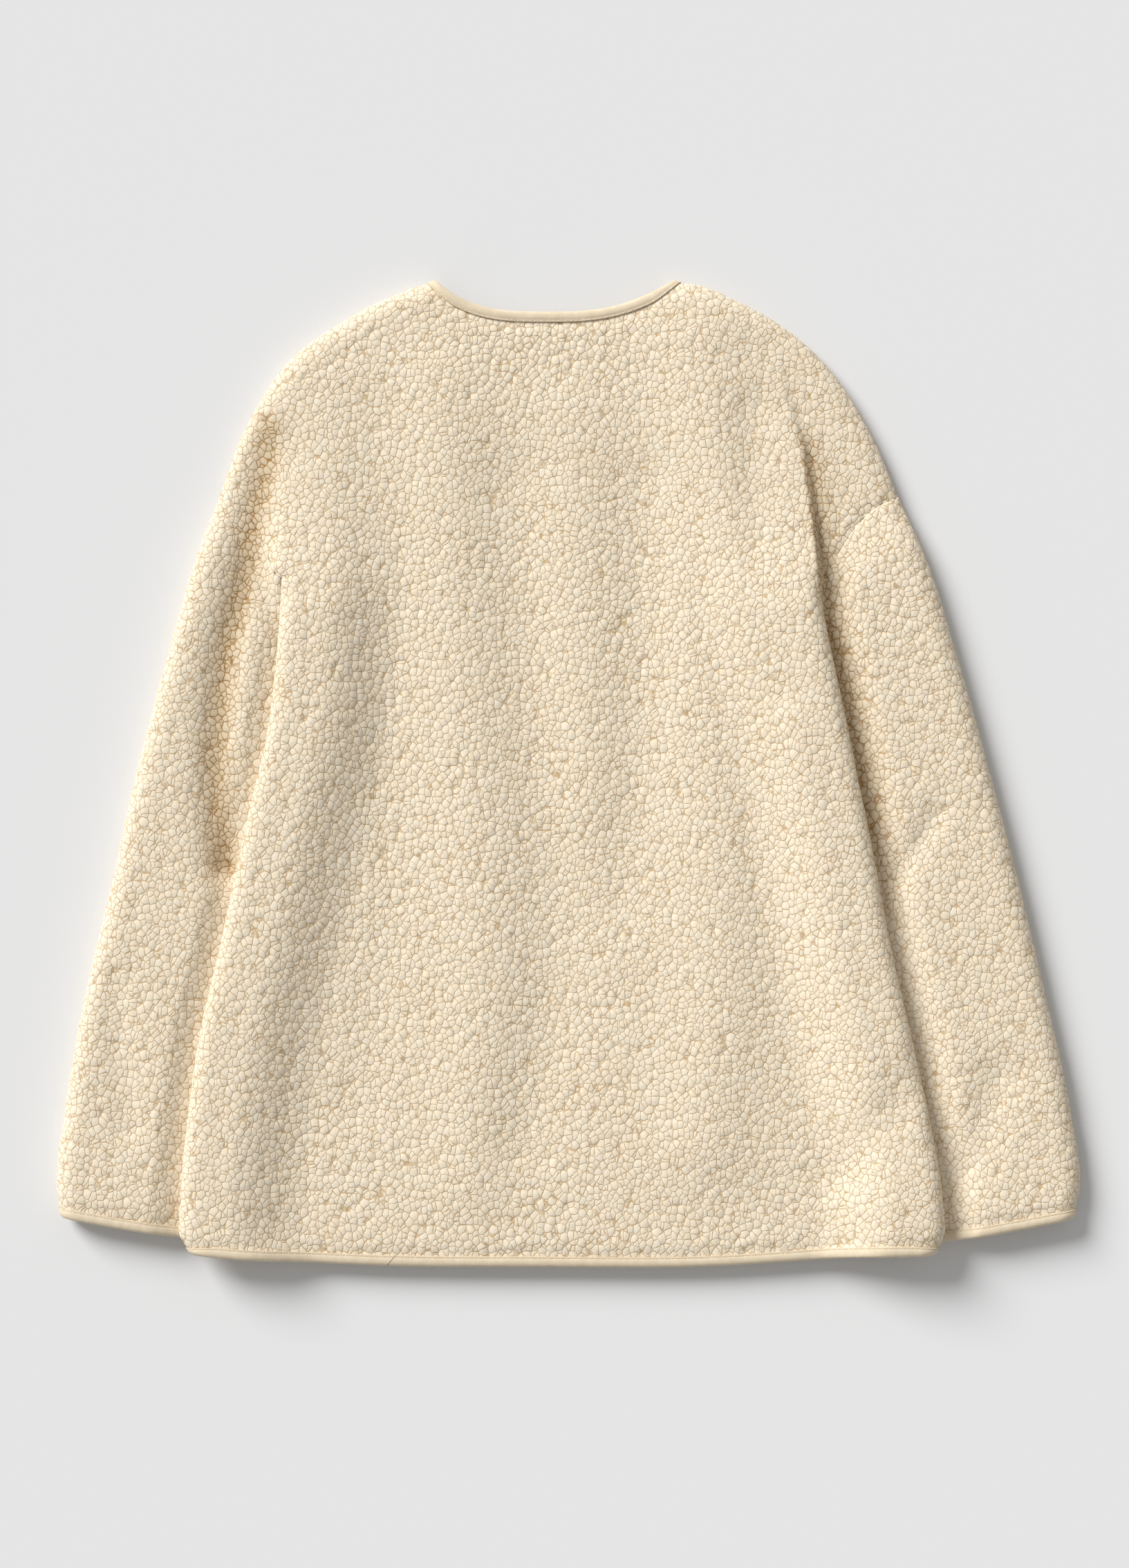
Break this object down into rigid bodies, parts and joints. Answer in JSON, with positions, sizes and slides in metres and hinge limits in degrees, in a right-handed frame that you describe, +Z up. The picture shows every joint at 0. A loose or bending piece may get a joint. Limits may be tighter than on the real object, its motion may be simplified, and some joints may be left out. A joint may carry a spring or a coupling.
{
  "type": "crew neck top",
  "caption": "Long-sleeved crew neck top in teddy fleece with a smooth binding at neck, hem and cuffs, laid flat on its front with the back up and the sleeves half under the body.",
  "frame": {"origin": "centre of the bounding box at its underside, on the surface that the top lies on", "axes": "+Z up out of the surface, +Y towards the neck, +X towards the wearer's right sleeve, which is on the right of the picture"},
  "size_m": [0.7248, 0.7012, 0.0315],
  "materials": {
    "fleece": "matte cream teddy fleece with a clumped pile",
    "binding": "matte cream knit strip, folded over the edge and stitched"
  },
  "bodies": {
    "root": {"back_panel": "fleece", "front_panel": "fleece", "left_sleeve": "fleece", "right_sleeve": "fleece", "neck_binding": "binding", "hem_binding": "binding", "left_cuff_binding": "binding", "right_cuff_binding": "binding"}
  },
  "joints": []
}
